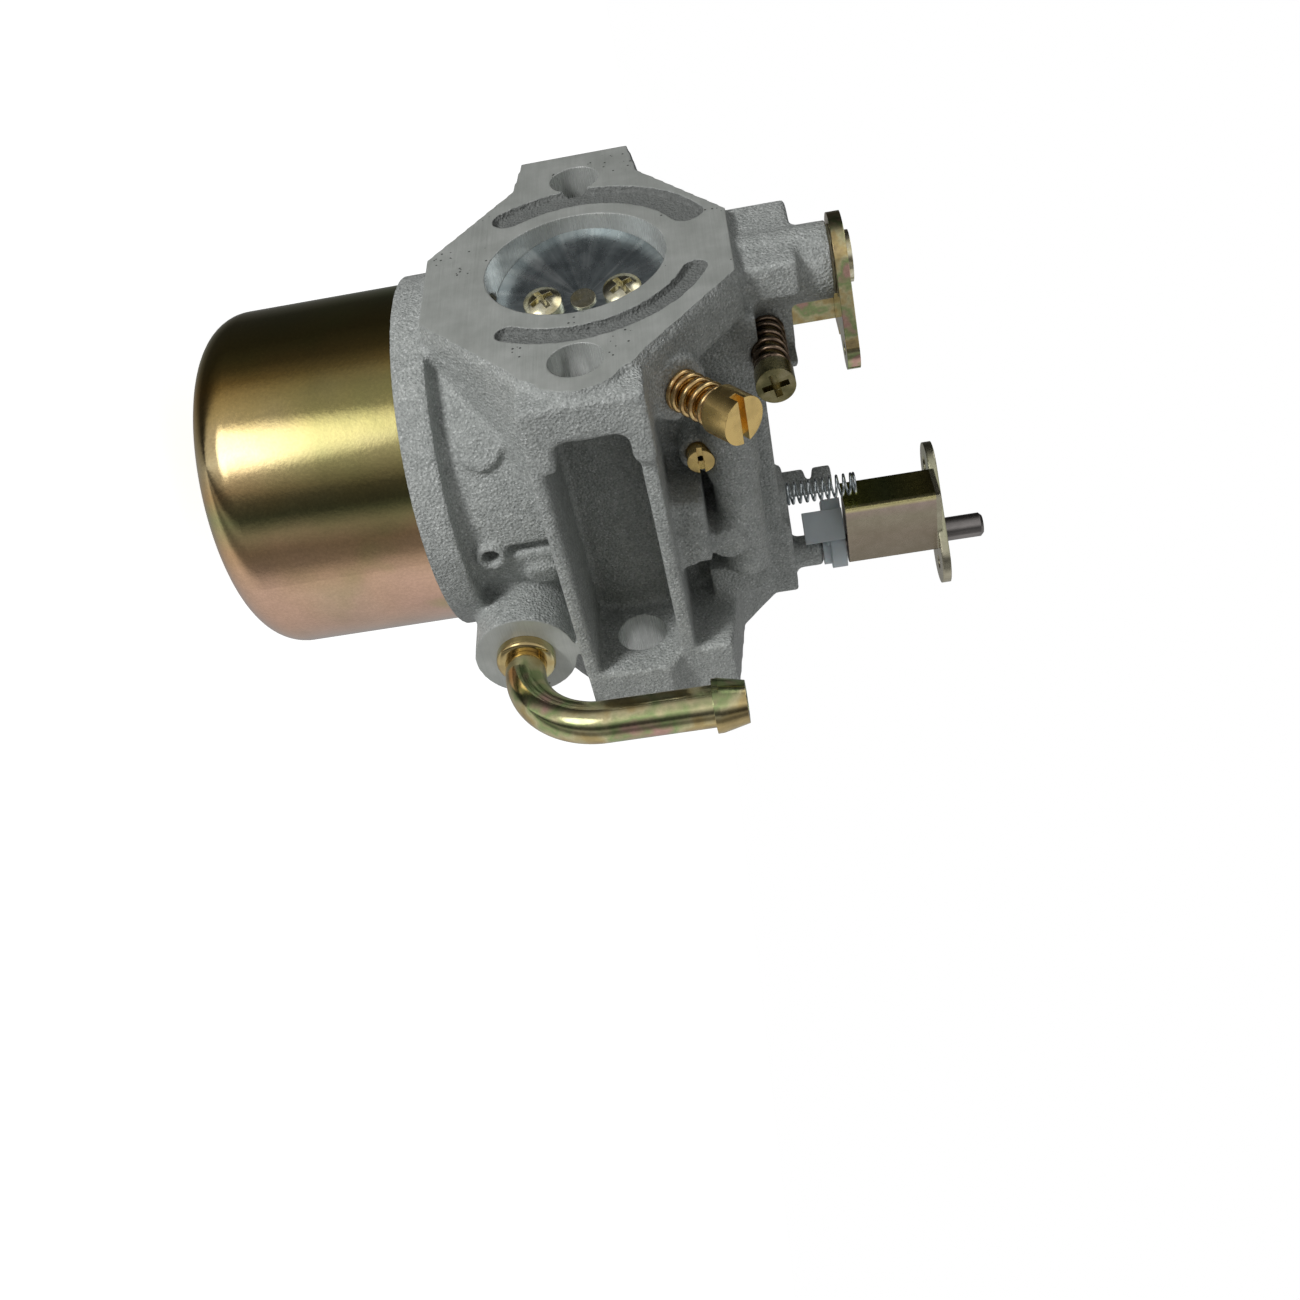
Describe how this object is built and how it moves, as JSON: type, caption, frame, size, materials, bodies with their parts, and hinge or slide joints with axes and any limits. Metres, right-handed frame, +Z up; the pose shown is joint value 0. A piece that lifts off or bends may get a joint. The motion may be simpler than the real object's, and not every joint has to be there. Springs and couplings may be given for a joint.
{
  "type": "float bowl carburetor",
  "caption": "Side-draught float-bowl carburetor with throttle and choke butterflies, adjusting screws and a barbed fuel elbow.",
  "frame": {"origin": "centre of the throttle bore on the engine flange face", "axes": "+Y along the bore to the air side, +Z up with the bowl hanging down, +X towards the fuel elbow"},
  "size_m": [0.0843, 0.0707, 0.1238],
  "materials": {
    "cast_body": "sand-blasted die casting with a machined face",
    "zinc_bowl": "iridescent yellow zinc plate on deep-drawn steel",
    "zinc_bolt": "iridescent yellow zinc plate",
    "zinc_screws": "iridescent yellow zinc plate",
    "zinc_lever": "iridescent yellow zinc plate on stamped steel",
    "zinc_bracket": "iridescent yellow zinc plate on stamped steel",
    "zinc_tube": "iridescent yellow zinc plate on bent steel tube",
    "stop_screw_zinc": "olive zinc chromate",
    "stop_spring_steel": "bronze-coloured spring wire",
    "screw_brass": "turned brass",
    "spring_brass": "brass-plated spring wire",
    "jet_brass": "turned brass",
    "shaft_steel": "plated steel",
    "choke_steel": "ground steel",
    "plate_alloy": "rolled sheet",
    "washer_alloy": "soft sheet",
    "plug_steel": "pressed sheet",
    "needle_steel": "turned steel",
    "pin_steel": "ground pin",
    "spring_silver": "bright zinc-plated spring wire",
    "float_plastic": "moulded fuel-proof plastic",
    "clip_nylon": "natural nylon",
    "seal_nylon": "felt and nylon",
    "gasket_rubber": "moulded seal"
  },
  "bodies": {
    "casting": {"body": "cast_body", "float_bowl": "zinc_bowl", "bowl_gasket": "gasket_rubber", "bowl_washer": "washer_alloy", "bowl_bolt": "zinc_bolt", "main_jet": "jet_brass", "emulsion_tube": "jet_brass", "needle_seat": "jet_brass", "float_pin": "pin_steel", "pilot_jet": "jet_brass", "air_jets": "jet_brass", "welch_plug": "plug_steel", "throttle_seal": "seal_nylon", "stop_screw_spring": "stop_spring_steel", "mixture_screw_spring": "spring_brass", "choke_clip": "clip_nylon", "choke_spring": "spring_silver", "fuel_elbow": "zinc_tube", "elbow_collar": "zinc_tube"},
    "throttle": {"throttle_shaft": "shaft_steel", "throttle_plate": "plate_alloy", "throttle_plate_screws": "zinc_screws", "throttle_lever": "zinc_lever"},
    "choke": {"choke_shaft": "choke_steel", "choke_plate": "plate_alloy", "choke_plate_screws": "zinc_screws", "choke_lever": "zinc_bracket"},
    "float_arm": {"float": "float_plastic"},
    "needle": {"float_needle": "needle_steel"},
    "idle_stop": {"stop_screw": "stop_screw_zinc"},
    "idle_mixture": {"mixture_screw": "screw_brass"}
  },
  "joints": [
    {"name": "throttle_turn", "type": "hinge", "parent": "casting", "child": "throttle", "pos_m": [0, 0.0068, 0], "axis": [0, 0, 1], "range_deg": [0, 74]},
    {"name": "choke_turn", "type": "hinge", "parent": "casting", "child": "choke", "pos_m": [0.0045, 0.059, 0], "axis": [0, 0, 1], "range_deg": [-80, 0]},
    {"name": "float_rise", "type": "hinge", "parent": "casting", "child": "float_arm", "pos_m": [0, 0.0486, -0.0285], "axis": [-1, 0, 0], "range_deg": [0, 8]},
    {"name": "needle_lift", "type": "slide", "parent": "casting", "child": "needle", "axis": [0, 0, 1], "range_m": [0, 0.0011]},
    {"name": "stop_screw_turn", "type": "hinge", "parent": "casting", "child": "idle_stop", "pos_m": [0.01, 0.015, 0.026], "axis": [1, 0, 0], "range_deg": [-360, 360]},
    {"name": "mixture_screw_turn", "type": "hinge", "parent": "casting", "child": "idle_mixture", "pos_m": [0.0229, 0.009, 0.0129], "axis": [0.766, 0, 0.6428], "range_deg": [-540, 540]}
  ],
  "couplings": [
    {"joint": "needle_lift", "follows": "float_rise", "m_per_rad": 0.0078}
  ]
}
